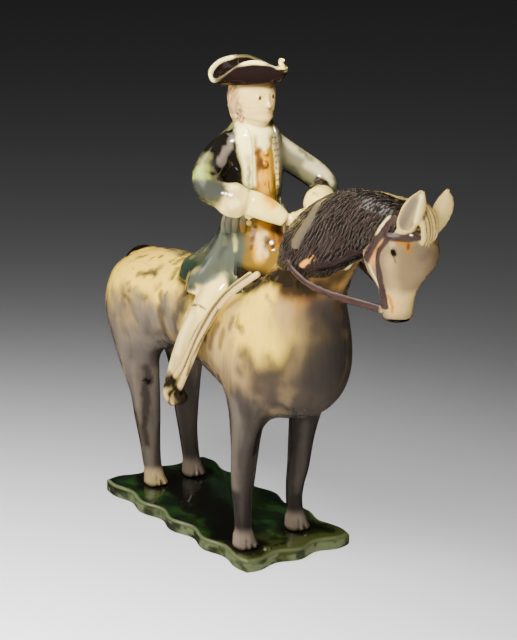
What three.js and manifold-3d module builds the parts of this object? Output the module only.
// A lead-glazed creamware figure of a horse and rider on a green slab base.
// Millimetres. The horse faces +X, its left side is +Y, and Z is up.
// The origin is the middle of the base's underside.
// The horse is an inflated skin over its spines: the barrel, the neck, the head and the legs are
// limbs, each an oval tube along a smooth line through a few stations, joined as the clay is.
// The rider is formed the same way, and is trimmed to the horse's back with a hairline gap.
import * as THREE from "three";
import { mergeVertices } from "three/addons/utils/BufferGeometryUtils.js";
import Module from "manifold-3d";

const wasm = await Module();
wasm.setup();
const { Manifold, Mesh } = wasm;

// Driving sizes
const BASE_LENGTH = 122;
const BASE_WIDTH = 57;
const BASE_THICK = 6.5;
const BASE_X = 1.5;
const BASE_WAVE = 1.7;
const GAP = 0.3;
const SEAT_X = 25;
const HEAD_Z = 205;

const SIDE_Y = [0, 1, 0];
const SIDE_X = [1, 0, 0];
const DOWN = [0, 0, -1];

// Materials: the plain glaze colours of each piece
const glaze = (color) => new THREE.MeshStandardMaterial({ color, roughness: 0.25, metalness: 0 });
const BASE_GLAZE = glaze(0x2f4a1c);
const HORSE_GLAZE = glaze(0x8b8277);
const RIDER_GLAZE = glaze(0xb9b592);

const vec = (p) => new THREE.Vector3(p[0], p[1], p[2]);

// One value of a smooth curve through four values, a quarter of the way for t = 0.25.
function smooth(p0, p1, p2, p3, t) {
  const t2 = t * t;
  const t3 = t2 * t;
  const bend = 2 * p0 - 5 * p1 + 4 * p2 - p3;
  const twist = 3 * p1 - p0 - 3 * p2 + p3;
  return 0.5 * (2 * p1 + (p2 - p0) * t + bend * t2 + twist * t3);
}

// Stations are [x, y, z, half width, half depth]. Returns them with more between each pair.
function resample(stations, between) {
  const out = [];
  const at = (i) => stations[Math.min(Math.max(i, 0), stations.length - 1)];
  for (let i = 0; i < stations.length - 1; i++)
    for (let k = 0; k < between; k++)
      out.push(
        stations[i].map((_, c) =>
          smooth(at(i - 1)[c], at(i)[c], at(i + 1)[c], at(i + 2)[c], k / between),
        ),
      );
  out.push(stations.at(-1).slice());
  return out;
}

// A closed surface from rings of equal length, with a pole at each end.
function skin(rings, start, end) {
  const around = rings[0].length;
  const points = [start, ...rings.flat(), end];
  const faces = [];
  const at = (i, j) => 1 + i * around + (j % around);
  for (let j = 0; j < around; j++) faces.push([0, at(0, j + 1), at(0, j)]);
  for (let i = 0; i < rings.length - 1; i++)
    for (let j = 0; j < around; j++) {
      faces.push([at(i, j), at(i, j + 1), at(i + 1, j + 1)]);
      faces.push([at(i, j), at(i + 1, j + 1), at(i + 1, j)]);
    }
  const last = rings.length - 1;
  for (let j = 0; j < around; j++) faces.push([at(last, j), at(last, j + 1), points.length - 1]);
  return new Manifold(
    new Mesh({
      numProp: 3,
      vertProperties: new Float32Array(points.flatMap((p) => [p.x, p.y, p.z])),
      triVerts: new Uint32Array(faces.flat()),
    }),
  );
}

// A limb. side is the direction of the half width, cap the ends' roundness (0 leaves them flat),
// grow an even thickening, level keeps every section flat for a limb that hangs straight down,
// and ripple(angle, way) is an optional swelling of the section.
function limb(stations, options = {}) {
  const { around = 14, between = 1, side = SIDE_Y, cap = 0.7, grow = 0, level, ripple } = options;
  const line = resample(stations, between);
  const centres = line.map(vec);
  const count = line.length;
  const rings = [];
  const frameAt = (i) => {
    const next = centres[Math.min(i + 1, count - 1)];
    const along = level ? vec(DOWN) : next.clone().sub(centres[Math.max(i - 1, 0)]).normalize();
    const s = vec(side).addScaledVector(along, -vec(side).dot(along)).normalize();
    return { along, s, d: along.clone().cross(s) };
  };
  const ring = (i, scale, shift) => {
    const { along, s, d } = frameAt(i);
    const [a, b] = [line[i][3] + grow, line[i][4] + grow];
    return Array.from({ length: around }, (_, j) => {
      const angle = (j / around) * 2 * Math.PI;
      const swell = scale * (ripple ? ripple(angle, i / (count - 1)) : 1);
      return centres[i]
        .clone()
        .addScaledVector(s, a * swell * Math.cos(angle))
        .addScaledVector(d, b * swell * Math.sin(angle))
        .addScaledVector(along, shift);
    });
  };
  const reach = (i) => (Math.min(line[i][3], line[i][4]) + grow) * cap;
  const tip = (i, way) => centres[i].clone().addScaledVector(frameAt(i).along, way * reach(i));
  if (cap) rings.push(ring(0, 0.7, -0.7 * reach(0)));
  for (let i = 0; i < count; i++) rings.push(ring(i, 1, 0));
  if (cap) rings.push(ring(count - 1, 0.7, 0.7 * reach(count - 1)));
  return skin(rings, tip(0, -1), tip(count - 1, 1));
}

// The place on a limb's surface at a station number, such as 1.5, and an angle in degrees from
// the side direction, raised by lift.
function onLimb(stations, number, degrees, lift = 0, side = SIDE_Y) {
  const at = (i) => stations[Math.min(Math.max(i, 0), stations.length - 1)];
  const i = Math.min(Math.floor(number), stations.length - 2);
  const mix = (n) =>
    at(0).map((_, c) => smooth(at(i - 1)[c], at(i)[c], at(i + 1)[c], at(i + 2)[c], n - i));
  const here = mix(number);
  const along = vec(mix(number + 0.05)).sub(vec(mix(number - 0.05))).normalize();
  const s = vec(side).addScaledVector(along, -vec(side).dot(along)).normalize();
  const d = along.clone().cross(s);
  const angle = THREE.MathUtils.degToRad(degrees);
  const [a, b] = [here[3] + lift, here[4] + lift];
  const p = vec(here).addScaledVector(s, a * Math.cos(angle)).addScaledVector(d, b * Math.sin(angle));
  return [p.x, p.y, p.z];
}

const join = (pieces) => pieces.reduce((whole, piece) => whole.add(piece));
const mirrored = (stations) => stations.map(([x, y, z, a, b]) => [x, -y, z, a, b]);

// A flattened ball with half sizes a, b and c along X, Y and Z.
function ball([x, y, z], a, b, c, around = 6, grow = 0) {
  const shape = new THREE.SphereGeometry(1, around, Math.ceil(around / 2));
  return solidOf(shape.scale(a + grow, b + grow, c + grow).translate(x, y, z));
}

function box(from, to) {
  const size = to.map((v, i) => v - from[i]);
  return solidOf(new THREE.BoxGeometry(...size).translate(...from.map((v, i) => v + size[i] / 2)));
}

// A mesh from a solid.
function meshOf(name, solid, material) {
  const raw = solid.getMesh();
  const geometry = new THREE.BufferGeometry();
  geometry.setAttribute("position", new THREE.BufferAttribute(raw.vertProperties, 3));
  geometry.setIndex(new THREE.BufferAttribute(raw.triVerts, 1));
  const flat = geometry.toNonIndexed();
  flat.computeVertexNormals();
  const mesh = new THREE.Mesh(flat, material);
  mesh.name = name;
  return mesh;
}

// A solid from a closed surface; faces that shrink to a line are dropped.
function solidOf(geometry) {
  const bare = new THREE.BufferGeometry();
  const loose = geometry.index ? geometry.toNonIndexed() : geometry;
  bare.setAttribute("position", loose.getAttribute("position"));
  const merged = mergeVertices(bare, 1e-4);
  const faces = [];
  const index = merged.index.array;
  for (let i = 0; i < index.length; i += 3) {
    const [a, b, c] = [index[i], index[i + 1], index[i + 2]];
    if (a !== b && b !== c && c !== a) faces.push(a, b, c);
  }
  return new Manifold(
    new Mesh({
      numProp: 3,
      vertProperties: merged.attributes.position.array,
      triVerts: new Uint32Array(faces),
    }),
  );
}

// The base: a slab with scalloped edges and sharp corners.

function baseOutline() {
  const [halfL, halfW] = [BASE_LENGTH / 2, BASE_WIDTH / 2];
  const shape = new THREE.Shape();
  const edges = [
    { from: [-halfL, -halfW], to: [halfL, -halfW], waves: 4.5, steps: 20 },
    { from: [halfL, -halfW], to: [halfL, halfW], waves: 2.5, steps: 10 },
    { from: [halfL, halfW], to: [-halfL, halfW], waves: 4.5, steps: 20 },
    { from: [-halfL, halfW], to: [-halfL, -halfW], waves: 2.5, steps: 10 },
  ];
  edges.forEach(({ from, to, waves, steps }, e) => {
    const way = new THREE.Vector2(to[0] - from[0], to[1] - from[1]);
    const out = new THREE.Vector2(way.y, -way.x).normalize();
    for (let k = 0; k < steps; k++) {
      const t = k / steps;
      const push = BASE_WAVE * Math.sin(t * waves * 2 * Math.PI) * Math.sin(Math.PI * t) ** 0.3;
      const x = BASE_X + from[0] + way.x * t + out.x * push;
      const y = from[1] + way.y * t + out.y * push;
      if (e === 0 && k === 0) shape.moveTo(x, y);
      else shape.lineTo(x, y);
    }
  });
  return shape;
}

function makeBase() {
  const soft = 0.7;
  const slab = new THREE.ExtrudeGeometry(baseOutline(), {
    depth: BASE_THICK - 2 * soft,
    bevelThickness: soft,
    bevelSize: soft,
    bevelOffset: -soft,
    bevelSegments: 1,
    steps: 1,
  });
  slab.translate(0, 0, soft);
  // A small drop of glaze that ran down by the near front hoof
  const drop = ball([57, -14, BASE_THICK], 2.2, 1.9, 1.6, 8);
  return join([solidOf(slab), drop]);
}

// The horse. Its left and right are alike but for the legs, which stand a little unevenly.
const BARREL = [
  [-73, 0, 94, 13, 14],
  [-62, 0, 96, 21.5, 21.5],
  [-46, 0, 98, 25, 23],
  [-25, 0, 99.5, 24, 21.5],
  [-2, 0, 99, 23, 22],
  [18, 0, 97.5, 24.5, 24.5],
  [38, 0, 95.5, 26.5, 28.5],
  [55, 0, 98, 26, 31],
  [67, 0, 101, 21.5, 28],
  [74.5, 0, 103.5, 13.5, 19.5],
];
const NECK = [
  [52, 0, 106, 18, 22],
  [64, 0, 120, 18, 21.5],
  [76, 0, 136, 15, 17],
  [89, 0, 151, 12, 13.5],
  [103, 0, 161.5, 10.8, 12],
  [117, 0, 166, 10, 11.5],
  [127, 0, 166, 9.5, 10.5],
];
const HEAD = [
  [131, 0, 176, 7.5, 8],
  [131.5, 0, 169, 10, 14],
  [131.8, 0, 160, 11, 16.6],
  [130.4, 0, 151, 9.2, 13],
  [129.3, 0, 143, 7.2, 9],
  [129.5, 0, 136, 6.3, 7],
  [129.8, 0, 131, 6, 6.2],
];
const NEAR_FORE = [
  [52, -15, 92, 10, 14],
  [50, -18, 78, 9, 12],
  [49.2, -19.6, 64, 6.8, 8.6],
  [48.6, -20, 52, 5.6, 7.2],
  [47, -20, 38, 4.9, 6.2],
  [46.6, -20, 30, 4.3, 5],
  [47, -20, 20, 3.7, 4.3],
  [47.4, -20, 12.5, 3.9, 4.4],
];
const FAR_FORE = [
  [51, 15, 92, 10, 14],
  [49, 15, 78, 8.6, 11.4],
  [47.6, 13.6, 64, 6.6, 8.2],
  [46, 12.8, 52, 5.4, 6.8],
  [44.4, 12.4, 38, 4.7, 5.8],
  [42.4, 12.2, 29, 4.1, 4.8],
  [41.6, 12.2, 20, 3.6, 4.2],
  [42.6, 12.2, 12.5, 3.8, 4.4],
];
const NEAR_HIND = [
  [-51, -9, 103, 13, 18],
  [-53.5, -12.6, 88, 12, 17],
  [-52, -13.8, 75, 10, 13.5],
  [-48.6, -13.8, 63, 8, 10.4],
  [-46.8, -13, 52, 6.6, 8.6],
  [-46, -12.5, 40, 5.9, 7.4],
  [-44.6, -12.2, 28, 4.9, 5.7],
  [-43.4, -12, 18, 4.3, 4.9],
  [-42, -11.8, 12.5, 4.2, 4.8],
];
const FAR_HIND = [
  [-51, 9, 103, 13, 18],
  [-53.5, 12.4, 88, 12, 17],
  [-53, 13, 75, 10, 13.5],
  [-50.4, 12.4, 63, 7.8, 10.4],
  [-48.5, 11.5, 52, 6.4, 8.2],
  [-47.8, 11, 40, 5.5, 7],
  [-46.2, 10.8, 28, 4.5, 5.2],
  [-44, 10.6, 18, 4.1, 4.7],
  [-42.4, 10.4, 12.5, 4.1, 4.7],
];
const LEGS = [NEAR_FORE, FAR_FORE, NEAR_HIND, FAR_HIND];

const TAIL = [
  [-57, 0, 118, 3.4, 2.6],
  [-67, 0, 117, 4.5, 3],
  [-75.5, 0, 111.5, 5, 3.5],
  [-81, 0, 102, 5.2, 3.7],
  [-82.5, 0, 91, 5, 3.7],
  [-80, 0, 79, 4.6, 3.5],
  [-75, 0, 68, 3.6, 3],
  [-70, 0, 60, 2, 1.8],
];

// A hoof stands on the base: the pastern turns out over a low bell with a cleft in front.
function hoof([x, y], grow) {
  const foot = limb(
    [
      [x - 1.5, y, 13, 4, 4.6],
      [x, y, 10, 4.6, 5.6],
      [x + 1.4, y, BASE_THICK, 5.6, 7.4],
    ],
    { around: 8, cap: 0, grow },
  );
  const below = box([x - 20, y - 20, BASE_THICK - 20], [x + 20, y + 20, BASE_THICK - grow]);
  const cleft = ball([x + 9.4, y, BASE_THICK + 1.5], 2.8, 0.8, 4, 4);
  return foot.subtract(below).subtract(cleft);
}

// An ear: a leaf standing on the poll, hollowed on its outer front.
function ear(sign, grow) {
  const leaf = [
    [137.5, 6.8 * sign, 170.5, 2.6, 2.8],
    [141.5, 8.2 * sign, 176, 4.3, 2.8],
    [145.5, 9 * sign, 181.5, 4.2, 2.3],
    [149.5, 9.2 * sign, 187, 1.8, 1.2],
  ];
  const hollow = [
    [143.4, 9.6 * sign, 175.5, 1.6, 1.2],
    [146.2, 10.6 * sign, 179.5, 2.7, 1.7],
    [149.6, 10.6 * sign, 184.6, 1.8, 1.3],
  ];
  const side = [-0.75 * sign, 1, 0];
  const solid = limb(leaf, { around: 8, side, grow });
  return grow ? solid : solid.subtract(limb(hollow, { around: 6, side }));
}

// The mane hangs on the right of the crest, cut in short pricked locks laid on its own surface.
const MANE = [
  [62, -5.5, 137, 4.5, 6],
  [74, -6.6, 145.5, 8.6, 13],
  [88, -6.2, 155.7, 8.6, 15],
  [101.6, -5.6, 164.2, 7.7, 14],
  [114, -4.6, 169, 6.8, 11.6],
  [124, -3, 171, 6, 7.5],
];

function mane(grow) {
  const pieces = [limb(MANE, { around: 10, grow })];
  const rows = 4;
  const perRow = 4;
  for (let row = 0; row < rows && !grow; row++)
    for (let k = 0; k < perRow; k++) {
      const number = 0.75 + (3.8 * (k + 0.5 * (row % 2))) / perRow;
      const degrees = 130 + 26 * row;
      const root = onLimb(MANE, number, degrees - 12, -0.2);
      const end = onLimb(MANE, number - 0.12, degrees + 12, 0.5);
      pieces.push(limb([[...root, 1.5, 1.3], [...end, 0.8, 0.7]], { around: 3, cap: 0 }));
    }
  return pieces;
}

// The bridle: flat straps that lie on the skin of the head, given as station numbers and degrees.
const STRAP = [0.8, 1.5];
const BROWBAND = [
  [1.35, 222],
  [1.25, 190],
  [1.15, 150],
  [1.1, 110],
  [1.1, 90],
];
const CHEEK = [
  [0.75, 222],
  [1.5, 212],
  [2.3, 208],
  [3.2, 208],
  [4.2, 206],
  [5.2, 200],
];

function bridle(grow) {
  const onHead = ([number, degrees]) => [...onLimb(HEAD, number, degrees, 0.1), ...STRAP];
  const pieces = [];
  for (const path of [BROWBAND, CHEEK]) {
    const near = path.map(onHead);
    for (const line of [near, mirrored(near)])
      pieces.push(limb(line, { around: 4, grow, cap: 0 }));
  }
  // The bit's rings stand out a little at the corners of the mouth
  for (const sign of [-1, 1]) pieces.push(ball([127, 6.8 * sign, 134.5], 1.9, 1.2, 1.9, 4, grow));
  return pieces;
}

const REIN = [
  [126, -7.2, 134.6, 0.9, 1.4],
  [112, -10.2, 137, 0.9, 1.4],
  [99, -13.2, 139.8, 0.9, 1.4],
  [86, -15.4, 143, 0.9, 1.4],
  [74, -14.6, 148, 0.9, 1.4],
  [63, -9, 153, 0.9, 1.4],
  [54, -2.6, 155.5, 1, 1.4],
];
const FORELOCK_STRANDS = 3;

function forelock(grow) {
  return Array.from({ length: FORELOCK_STRANDS }, (_, k) => {
    const y = (k - (FORELOCK_STRANDS - 1) / 2) * 3;
    return limb(
      [
        [137, 0.6 * y, 179, 2, 1.6],
        [143.5, 0.9 * y, 175.5, 2, 1.6],
        [147.2, y, 169.5, 1.8, 1.6],
        [148.2, 0.9 * y, 163.5, 1, 1],
      ],
      { around: 4, cap: 0, grow },
    );
  });
}

// The saddle, a low pad over the back
const SADDLE = [
  [0, 0, 112, 18.5, 10.4],
  [22, 0, 112, 21, 12],
  [42, 0, 113, 23, 13.5],
  [52, 0, 115, 20, 13.5],
];

function makeHorse(grow = 0) {
  return join([
    limb(BARREL, { grow, around: 16, cap: 0.75 }),
    limb(NECK, { grow, around: 11 }),
    limb(HEAD, { grow, around: 12, cap: 0.4 }),
    limb(TAIL, { grow, around: 6 }),
    ...LEGS.map((leg) => limb(leg, { grow, around: 9 })),
    ...LEGS.map((leg) => hoof(leg.at(-1), grow)),
    ear(-1, grow),
    ear(1, grow),
    ...mane(grow),
    ...bridle(grow),
    ...forelock(grow),
    limb(REIN, { around: 4, cap: 0, grow }),
    limb(mirrored(REIN), { around: 4, cap: 0, grow }),
    limb(SADDLE, { grow, around: 12, cap: 0 }),
  ]);
}

// Folds of the coat's skirt: none at the waist, full at the hem.
const folds = (count, depth) => (angle, way) =>
  1 + depth * Math.max(0, way - 0.35) * Math.cos(count * angle);

const BUTTONS = [183, 177.5, 160, 152];

const TRUNK = [
  [SEAT_X + 2, 0, 193, 7, 7],
  [SEAT_X + 1, 0, 189, 12, 9.5],
  [SEAT_X, 0, 181, 14, 11.5],
  [SEAT_X, 0, 170, 13.6, 11.5],
  [SEAT_X, 0, 160, 12.6, 10.6],
];
const SKIRT = [
  [SEAT_X, 0, 160, 12.8, 10.8],
  [SEAT_X - 0.5, 0, 150, 13, 11.6],
  [SEAT_X - 2, 0, 141, 14.4, 15],
  [SEAT_X - 5.5, 0, 133, 17, 21.5],
  [SEAT_X - 9, 0, 126.5, 20, 28],
  [SEAT_X - 10, 0, 120.6, 21, 30],
];
const LAP = [
  [SEAT_X + 2, 0, 170, 8, 10.6],
  [SEAT_X + 3, 0, 158, 8.4, 11],
  [SEAT_X + 7, 0, 146, 10.5, 14],
  [SEAT_X + 12, 0, 136, 13, 17],
  [SEAT_X + 14, 0, 128, 14, 18],
];
const RIGHT_ARM = [
  [SEAT_X - 1, -10.5, 185.5, 6, 6.5],
  [SEAT_X - 0.5, -17.5, 181, 6.2, 6.8],
  [SEAT_X + 1.5, -24.5, 174, 6.4, 6.8],
  [SEAT_X + 6.5, -26.5, 169, 6, 6.4],
  [SEAT_X + 13, -23, 166.5, 5.6, 6],
];
const LEFT_ARM = [
  [SEAT_X + 1, 11, 183, 6, 6],
  [SEAT_X + 4, 18, 177, 6, 6.4],
  [SEAT_X + 11, 27.4, 169, 5.8, 6.2],
  [SEAT_X + 17, 28, 164, 5.4, 6],
  [SEAT_X + 22, 23, 161.5, 5, 5.6],
];
const RIGHT_CUFF = [
  [SEAT_X + 12, -23.5, 166, 6, 6.6],
  [SEAT_X + 15, -19.5, 165, 8.2, 8.8],
  [SEAT_X + 17.5, -16.5, 164, 7.4, 8],
];
const LEFT_CUFF = [
  [SEAT_X + 22, 23, 161.5, 5.4, 6],
  [SEAT_X + 25, 18.5, 160.5, 6.4, 7],
  [SEAT_X + 26.5, 15.5, 159.5, 5.4, 6],
];
const RIGHT_HAND = [
  [SEAT_X + 16, -17, 164.5, 3.6, 5],
  [SEAT_X + 20, -12.5, 163, 4, 5.6],
  [SEAT_X + 25, -7, 160, 4, 5],
  [SEAT_X + 29, -3.4, 157, 2.8, 3.4],
];
const LEFT_HAND = [
  [SEAT_X + 27, 15, 157.6, 2.6, 3],
  [SEAT_X + 28.5, 7, 156.8, 2.6, 2.8],
  [SEAT_X + 29.5, 0, 156, 2.8, 2.8],
];
const RIGHT_LEG = [
  [SEAT_X, -15, 127, 8.4, 10],
  [SEAT_X + 0.5, -21.5, 120, 7, 8.4],
  [SEAT_X - 3, -26, 109.5, 5.6, 6.6],
  [SEAT_X - 8.5, -28.5, 97, 4.8, 5.6],
  [SEAT_X - 14, -30, 85, 4.2, 4.8],
  [SEAT_X - 17.5, -31, 75.5, 3.8, 4.2],
];
const SHOE = [
  [SEAT_X - 20, -31.2, 72.5, 3.4, 3.4],
  [SEAT_X - 15, -31.8, 71.5, 3.8, 3.8],
  [SEAT_X - 9, -32.8, 70.5, 3.6, 3.4],
];

function head() {
  const skull = limb(
    [
      [SEAT_X + 2, 0, HEAD_Z - 16, 5, 5],
      [SEAT_X + 2.5, 0, HEAD_Z - 11, 5.4, 5.6],
      [SEAT_X + 3.5, 0, HEAD_Z - 7, 7.2, 8.6],
      [SEAT_X + 2.5, 0, HEAD_Z, 9, 10.4],
      [SEAT_X + 1.5, 0, HEAD_Z + 6, 9, 10.2],
      [SEAT_X + 1, 0, HEAD_Z + 10, 7.4, 8.4],
    ],
    { around: 11 },
  );
  const nose = limb(
    [
      [SEAT_X + 12.4, 0, HEAD_Z + 3, 1.1, 1.2],
      [SEAT_X + 14, 0, HEAD_Z - 1.4, 1.5, 1.6],
    ],
    { around: 5, cap: 0.5 },
  );
  const brow = ball([SEAT_X + 10.4, 0, HEAD_Z + 3.4], 2.2, 6, 1.2, 8);
  const lips = ball([SEAT_X + 12.4, 0, HEAD_Z - 5.2], 1, 2.6, 1, 4);
  const chin = ball([SEAT_X + 10.6, 0, HEAD_Z - 9], 2.2, 2.8, 1.8, 4);
  // The wig: a cap of hair with three rolled curls at each side
  const wig = limb(
    [
      [SEAT_X - 2, 0, HEAD_Z - 12, 6, 4.5],
      [SEAT_X - 2.6, 0, HEAD_Z - 5, 9.2, 7.2],
      [SEAT_X - 1.8, 0, HEAD_Z + 3, 9.6, 8.4],
      [SEAT_X - 0.6, 0, HEAD_Z + 9, 8.4, 8.2],
    ],
    { around: 9 },
  );
  const curls = [];
  for (const sign of [-1, 1])
    for (let k = 0; k < 3; k++)
      curls.push(
        limb(
          [
            [SEAT_X - 4, 8.6 * sign, HEAD_Z - 7.6 + 4.4 * k, 1.9, 2],
            [SEAT_X + 3.6, 8.9 * sign, HEAD_Z - 6.4 + 4.4 * k, 1.7, 2],
          ],
          { around: 5, cap: 0 },
        ),
      );
  return [skull, nose, brow, lips, chin, wig, ...curls];
}

// The cocked hat: a low crown in a brim turned up on three sides, with a narrow point in front
// and two broad corners behind. The right flap stands highest and the left one lowest.
const HAT_CORNERS = [
  { at: 0, reach: 7.8, sharp: 1.5, height: 1.9 },
  { at: 122, reach: 7.4, sharp: 0.9, height: 3 },
  { at: -126, reach: 8, sharp: 0.65, height: 4.6 },
];

function hat() {
  const centre = new THREE.Vector3(SEAT_X + 2, 0, HEAD_Z + 10.3);
  const steps = 18;
  const tilt = 0.16;
  const wall = 0.9;
  const corner = (angle) => {
    const near = ({ at }) => Math.max(0, 2 * Math.cos(angle - THREE.MathUtils.degToRad(at)) - 1);
    const best = HAT_CORNERS.reduce((a, b) => (near(a) >= near(b) ? a : b));
    return { p: near(best) ** best.sharp, reach: best.reach, height: best.height };
  };
  const flap = (angle) => 6.9 - 1.9 * Math.sin(angle) - 1.2 * Math.cos(angle);
  const place = (angle, r, z) => {
    const x = r * Math.cos(angle);
    return new THREE.Vector3(x, r * Math.sin(angle), z + tilt * x).add(centre);
  };
  const rim = (angle, inset, drop) => {
    const { p, reach, height } = corner(angle);
    const top = flap(angle) * (1 - p) + height * p;
    return place(angle, 11.2 + reach * p - inset, top - drop);
  };
  const foot = (angle, inset, lift) => {
    const { p, reach } = corner(angle);
    return place(angle, 10 + 0.72 * reach * p - inset, -2 + 0.6 * p + lift);
  };
  const loop = (f) => Array.from({ length: steps }, (_, j) => f((j / steps) * 2 * Math.PI));
  const halfway = (f, g) => f.map((p, j) => p.clone().lerp(g[j], 0.5));
  const footOut = loop((a) => foot(a, 0, 0));
  const rimOut = loop((a) => rim(a, 0, 0.5));
  const rimIn = loop((a) => rim(a, 2 * wall, 0.5));
  const footIn = loop((a) => foot(a, 2 * wall, 1.6));
  const rings = [footOut, halfway(footOut, rimOut), rimOut, loop((a) => rim(a, wall, 0)), rimIn, footIn];
  const low = centre.clone().add(new THREE.Vector3(0, 0, -2.5));
  const high = centre.clone().add(new THREE.Vector3(0, 0, 0.5));
  const crown = ball([centre.x - 0.5, 0, centre.z], 8, 7.6, 6.6, 8);
  const cockade = ball([centre.x + 17.4, 0, centre.z + 6], 1.5, 1.4, 2.2, 4);
  return [skin(rings, low, high), crown, cockade];
}

// A ribbed, scalloped pocket flap on the skirt's right and left.
function pocket(sign) {
  const ribs = 3;
  return Array.from({ length: ribs }, (_, k) => {
    const x = SEAT_X + 1.5 + 3.2 * k;
    const y = (13.4 - 0.5 * k) * sign;
    return limb(
      [
        [x - 0.6, y, 155.4 + 0.5 * k, 1.3, 1.7],
        [x, y + 1.4 * sign, 151 + 0.5 * k, 1.7, 2],
        [x, y + 1.8 * sign, 147.6 + 0.5 * k, 1.2, 1.5],
      ],
      { around: 5, cap: 0 },
    );
  });
}

// The stirrup: two strands of clay that run down from the saddle and part round the shoe.
const STIRRUP_FRONT = [
  [SEAT_X + 31, -18, 135, 1.4, 1.5],
  [SEAT_X + 22, -23.5, 127, 1.4, 1.5],
  [SEAT_X + 13, -27, 117, 1.4, 1.5],
  [SEAT_X + 5, -29.6, 104, 1.4, 1.5],
  [SEAT_X - 1, -32, 90, 1.4, 1.5],
  [SEAT_X - 6.5, -34.4, 77, 1.4, 1.5],
  [SEAT_X - 9.5, -35, 71, 1.4, 1.6],
  [SEAT_X - 14, -34, 66.6, 1.6, 1.6],
];
const STIRRUP_BACK = [
  [SEAT_X + 27, -19, 134, 1.4, 1.5],
  [SEAT_X + 18, -24, 125.5, 1.4, 1.5],
  [SEAT_X + 9.5, -27.6, 115, 1.4, 1.5],
  [SEAT_X + 1.5, -30.4, 102, 1.4, 1.5],
  [SEAT_X - 5.5, -33, 88, 1.4, 1.5],
  [SEAT_X - 13, -35, 77.5, 1.5, 1.6],
  [SEAT_X - 17.4, -35, 71.5, 1.7, 1.8],
  [SEAT_X - 14, -34, 66.6, 1.6, 1.6],
];

// The right half of what comes in pairs; the left half is its mirror image.
const PAIRS = [
  [RIGHT_LEG, { around: 8 }],
  [SHOE, { around: 7 }],
  [STIRRUP_FRONT, { around: 4, cap: 0 }],
  [STIRRUP_BACK, { around: 4, cap: 0 }],
];

function makeRider(horseGrown) {
  // The coat stands proud of the waistcoat, which shows between the coat's front edges
  const proud = 1;
  const opening = join([
    box([SEAT_X + 2, -6.5, 158], [SEAT_X + 42, 6.5, 193]),
    box([SEAT_X + 3, -10, 140], [SEAT_X + 60, 10, 162]),
    box([SEAT_X + 7, -15, 112], [SEAT_X + 60, 15, 145]),
  ]);
  const coat = join([
    limb(TRUNK, { around: 12, grow: proud, cap: 0.5 }),
    limb(SKIRT, { around: 24, grow: proud, cap: 0, level: true, ripple: folds(6, 0.09) }),
  ]);
  const waistcoat = join([
    limb(TRUNK, { around: 12, cap: 0.5 }),
    limb(LAP, { around: 12, cap: 0 }),
  ]);
  const pairs = PAIRS.flatMap(([line, shape]) => [
    limb(line, shape),
    limb(mirrored(line), shape),
  ]);
  const arms = [
    limb(RIGHT_ARM, { around: 8, side: [1, 0.6, 0] }),
    limb(LEFT_ARM, { around: 8, side: [1, -0.6, 0] }),
    limb(RIGHT_CUFF, { around: 10, side: SIDE_X, cap: 0.3 }),
    limb(LEFT_CUFF, { around: 9, side: SIDE_X, cap: 0.3 }),
    limb(RIGHT_HAND, { around: 7, side: SIDE_X }),
    limb(LEFT_HAND, { around: 6, side: SIDE_X }),
  ];
  const buttons = BUTTONS.map((z) => ball([SEAT_X + 11.8, -0.6, z], 1.5, 1.5, 1.5, 4));
  const body = join([
    coat.subtract(opening),
    waistcoat,
    ...arms,
    ...pairs,
    ...buttons,
    ...head(),
    ...hat(),
    ...pocket(-1),
    ...pocket(1),
  ]);
  return body.subtract(horseGrown);
}

const group = new THREE.Group();
group.add(meshOf("base", makeBase(), BASE_GLAZE));
group.add(meshOf("horse", makeHorse(), HORSE_GLAZE));
group.add(meshOf("rider", makeRider(makeHorse(GAP)), RIDER_GLAZE));
export default group;
